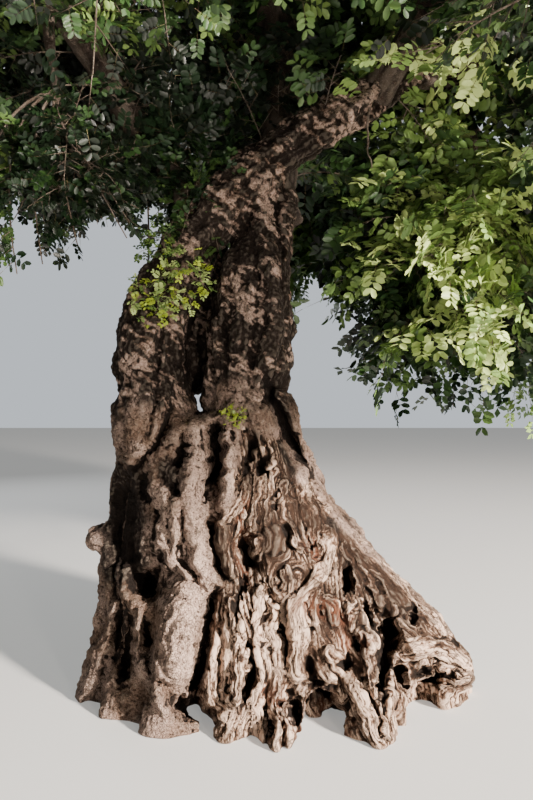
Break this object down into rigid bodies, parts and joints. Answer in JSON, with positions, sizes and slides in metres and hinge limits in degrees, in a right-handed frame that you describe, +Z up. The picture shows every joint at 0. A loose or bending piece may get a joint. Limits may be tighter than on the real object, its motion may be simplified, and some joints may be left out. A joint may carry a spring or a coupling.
{
  "type": "carob tree",
  "caption": "Old carob tree with a broad gnarled trunk on spreading roots, split stems, leaning boughs and a wide rounded crown of leafy twigs.",
  "frame": {"origin": "on the flat cut under the trunk, level with the ground, below the fork's middle", "axes": "+Z up, +X towards the trunk's long root arm, -Y towards the side with the cleft"},
  "size_m": [7.8858, 7.0681, 6.372],
  "materials": {
    "old_bark": "rough weathered bark and bare wood",
    "bough_bark": "rough bark",
    "foliage": "leathery leaves, faintly glossy"
  },
  "bodies": {
    "root": {"back_bough": "bough_bark", "back_foliage": "foliage", "back_left_bough": "bough_bark", "back_left_foliage": "foliage", "back_right_bough": "bough_bark", "back_right_foliage": "foliage", "back_stem": "old_bark", "crotch_shoot": "foliage", "crown_top_foliage": "foliage", "front_bough": "bough_bark", "front_foliage": "foliage", "front_left_bough": "bough_bark", "front_left_foliage": "foliage", "front_right_bough": "bough_bark", "front_right_foliage": "foliage", "hanging_bough": "bough_bark", "hanging_foliage": "foliage", "inner_right_bough": "bough_bark", "inner_right_foliage": "foliage", "leader_bough": "bough_bark", "left_bough": "bough_bark", "left_foliage": "foliage", "left_stem": "old_bark", "main_bough": "old_bark", "right_bough": "bough_bark", "right_foliage": "foliage", "right_stem": "old_bark", "stem_shoot": "foliage", "trunk": "old_bark", "upper_bough_1": "bough_bark", "upper_bough_2": "bough_bark", "upper_bough_3": "bough_bark", "upper_bough_4": "bough_bark", "upper_bough_5": "bough_bark", "upper_foliage_1": "foliage", "upper_foliage_2": "foliage", "upper_foliage_3": "foliage", "upper_foliage_4": "foliage", "upper_foliage_5": "foliage"}
  },
  "joints": []
}
